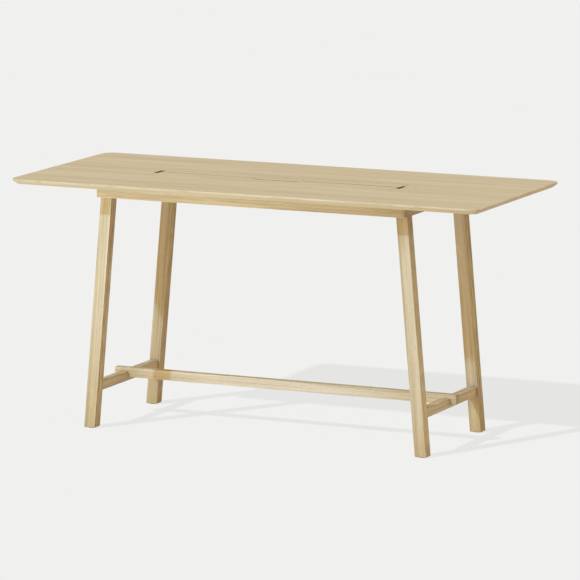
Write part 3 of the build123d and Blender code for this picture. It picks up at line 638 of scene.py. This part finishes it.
def make_floor():
    """A pale floor that shades only from above, so the underside can be looked at."""
    corners = [(x * FLOOR_HALF_SIZE, y * FLOOR_HALF_SIZE, cad_low.z - FLOOR_GAP)
               for x, y in ((-1, -1), (1, -1), (1, 1), (-1, 1))]
    mesh = bpy.data.meshes.new("floor")
    mesh.from_pydata(corners, [], [(0, 1, 2, 3)])
    floor = bpy.data.objects.new("floor", mesh)
    bpy.context.scene.collection.objects.link(floor)
    tree = Tree("floor")
    clouding = tree.noise(tree.place(), scale=0.8, detail=2.0)
    glow = tree.total(FLOOR_GLOW - FLOOR_CLOUDING / 2, (clouding, FLOOR_CLOUDING))
    tree.set(base_color=FLOOR_COLOUR, roughness=0.9, specular_ior_level=0.0,
             emission_color=FLOOR_GLOW_COLOUR, emission_strength=glow)
    clear = tree.nodes.new("ShaderNodeBsdfTransparent")
    sides = tree.nodes.new("ShaderNodeMixShader")
    behind = tree.nodes.new("ShaderNodeNewGeometry").outputs["Backfacing"]
    tree.links.new(behind, sides.inputs[0])
    tree.links.new(tree.shader.outputs[0], sides.inputs[1])
    tree.links.new(clear.outputs[0], sides.inputs[2])
    tree.links.new(sides.outputs[0], tree.output.inputs["Surface"])
    mesh.materials.append(tree.material)
    return floor


def add_light(kind, name, travel, strength, colour):
    """A light shining one way."""
    data = bpy.data.lights.new(name, kind)
    data.energy = strength
    data.color = colour
    light = bpy.data.objects.new(name, data)
    light.rotation_euler = travel.to_track_quat("-Z", "Y").to_euler()
    bpy.context.scene.collection.objects.link(light)
    return light


def make_light(floor):
    """Sunlight from the front left, and soft light from above and from the front."""
    sun = add_light("SUN", "sun", SUN_TRAVEL, SUN_STRENGTH, SUN_COLOUR)
    sun.data.angle = SUN_SPREAD
    sky = add_light("SUN", "sky", SKY_TRAVEL, SKY_STRENGTH, SKY_COLOUR)
    sky.data.angle = SKY_SPREAD

    # This sun lights only the floor, and gives it the table's faint shadow.
    floor_sun = add_light("SUN", "floor_sun", SUN_TRAVEL, FLOOR_SUN_STRENGTH, FLOOR_SUN_COLOUR)
    floor_sun.data.angle = SUN_SPREAD
    only_floor = bpy.data.collections.new("only_floor")
    only_floor.objects.link(floor)
    floor_sun.light_linking.receiver_collection = only_floor

    front_travel = Vector((0, 0, cad_high.z / 2)) - FRONT_PLACE
    front = add_light("AREA", "front", front_travel, FRONT_STRENGTH, FRONT_COLOUR)
    front.data.size = FRONT_SIZE
    front.location = FRONT_PLACE


def make_world():
    """The even fill, and behind the table a pale backdrop, which shows only from below the floor."""
    world = bpy.data.worlds.new("studio")
    world.use_nodes = True
    parts = world.node_tree
    fill = parts.nodes["Background"]
    fill.inputs["Color"].default_value = (*FILL_COLOUR, 1.0)
    fill.inputs["Strength"].default_value = FILL_STRENGTH
    backdrop = parts.nodes.new("ShaderNodeBackground")
    backdrop.inputs["Color"].default_value = (*BACKDROP_COLOUR, 1.0)
    seen = parts.nodes.new("ShaderNodeLightPath").outputs["Is Camera Ray"]
    choice = parts.nodes.new("ShaderNodeMixShader")
    parts.links.new(seen, choice.inputs[0])
    parts.links.new(fill.outputs[0], choice.inputs[1])
    parts.links.new(backdrop.outputs[0], choice.inputs[2])
    parts.links.new(choice.outputs[0], parts.nodes["World Output"].inputs["Surface"])
    bpy.context.scene.world = world


def make_camera():
    """A long lens far from the table, at the angle that the table is seen from."""
    camera_data = bpy.data.cameras.new("camera")
    camera_data.lens = CAMERA_LENS
    camera_data.clip_start = 1.0
    camera_data.clip_end = 2 * FLOOR_HALF_SIZE
    camera = bpy.data.objects.new("camera", camera_data)
    level = math.cos(CAMERA_ELEVATION)
    back = Vector((math.sin(CAMERA_AZIMUTH) * level, -math.cos(CAMERA_AZIMUTH) * level,
                   math.sin(CAMERA_ELEVATION)))
    camera.location = CAMERA_AIM + back * CAMERA_DISTANCE
    camera.rotation_euler = (math.pi / 2 - CAMERA_ELEVATION, 0.0, CAMERA_AZIMUTH)
    bpy.context.scene.collection.objects.link(camera)
    bpy.context.scene.camera = camera


paint_wood()
paint_fittings()
floor = make_floor()
make_light(floor)
make_world()
make_camera()
bpy.context.scene.view_settings.view_transform = "Standard"
